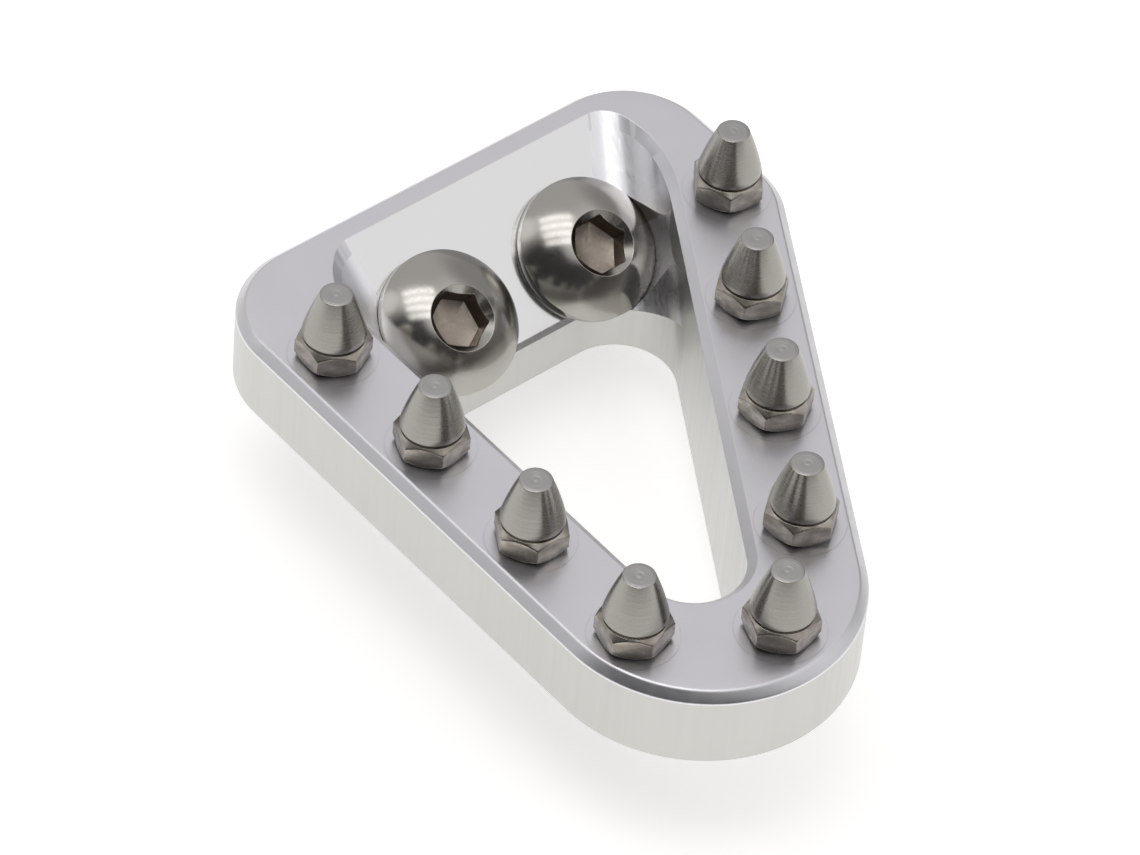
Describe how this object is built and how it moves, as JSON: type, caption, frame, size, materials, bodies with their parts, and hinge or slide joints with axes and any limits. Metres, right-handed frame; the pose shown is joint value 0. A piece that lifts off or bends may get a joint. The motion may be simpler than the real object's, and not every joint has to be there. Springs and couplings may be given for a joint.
{
  "type": "brake pedal extension",
  "caption": "Milled three-sided foot plate with a large opening, tapered grip studs and a tilted mount pocket with two button head screws.",
  "frame": {"origin": "middle of the tilted mount seat under the bar, halfway between the two screw axes", "axes": "+Z stands on the tread face and +Y runs from the nose to the mount bar, square to the bar's outer side"},
  "size_m": [0.043, 0.0559, 0.0224],
  "materials": {
    "plate_aluminium": "milled, bead blasted and clear anodised",
    "screw_steel": "polished stainless steel",
    "stud_steel": "turned stainless steel with fine tool rings"
  },
  "bodies": {
    "root": {"plate": "plate_aluminium", "mount_screw_left": "screw_steel", "mount_screw_right": "screw_steel", "stud_left_1": "stud_steel", "stud_left_2": "stud_steel", "stud_left_3": "stud_steel", "stud_left_4": "stud_steel", "stud_nose": "stud_steel", "stud_slant_1": "stud_steel", "stud_slant_2": "stud_steel", "stud_slant_3": "stud_steel", "stud_slant_4": "stud_steel"}
  },
  "joints": []
}
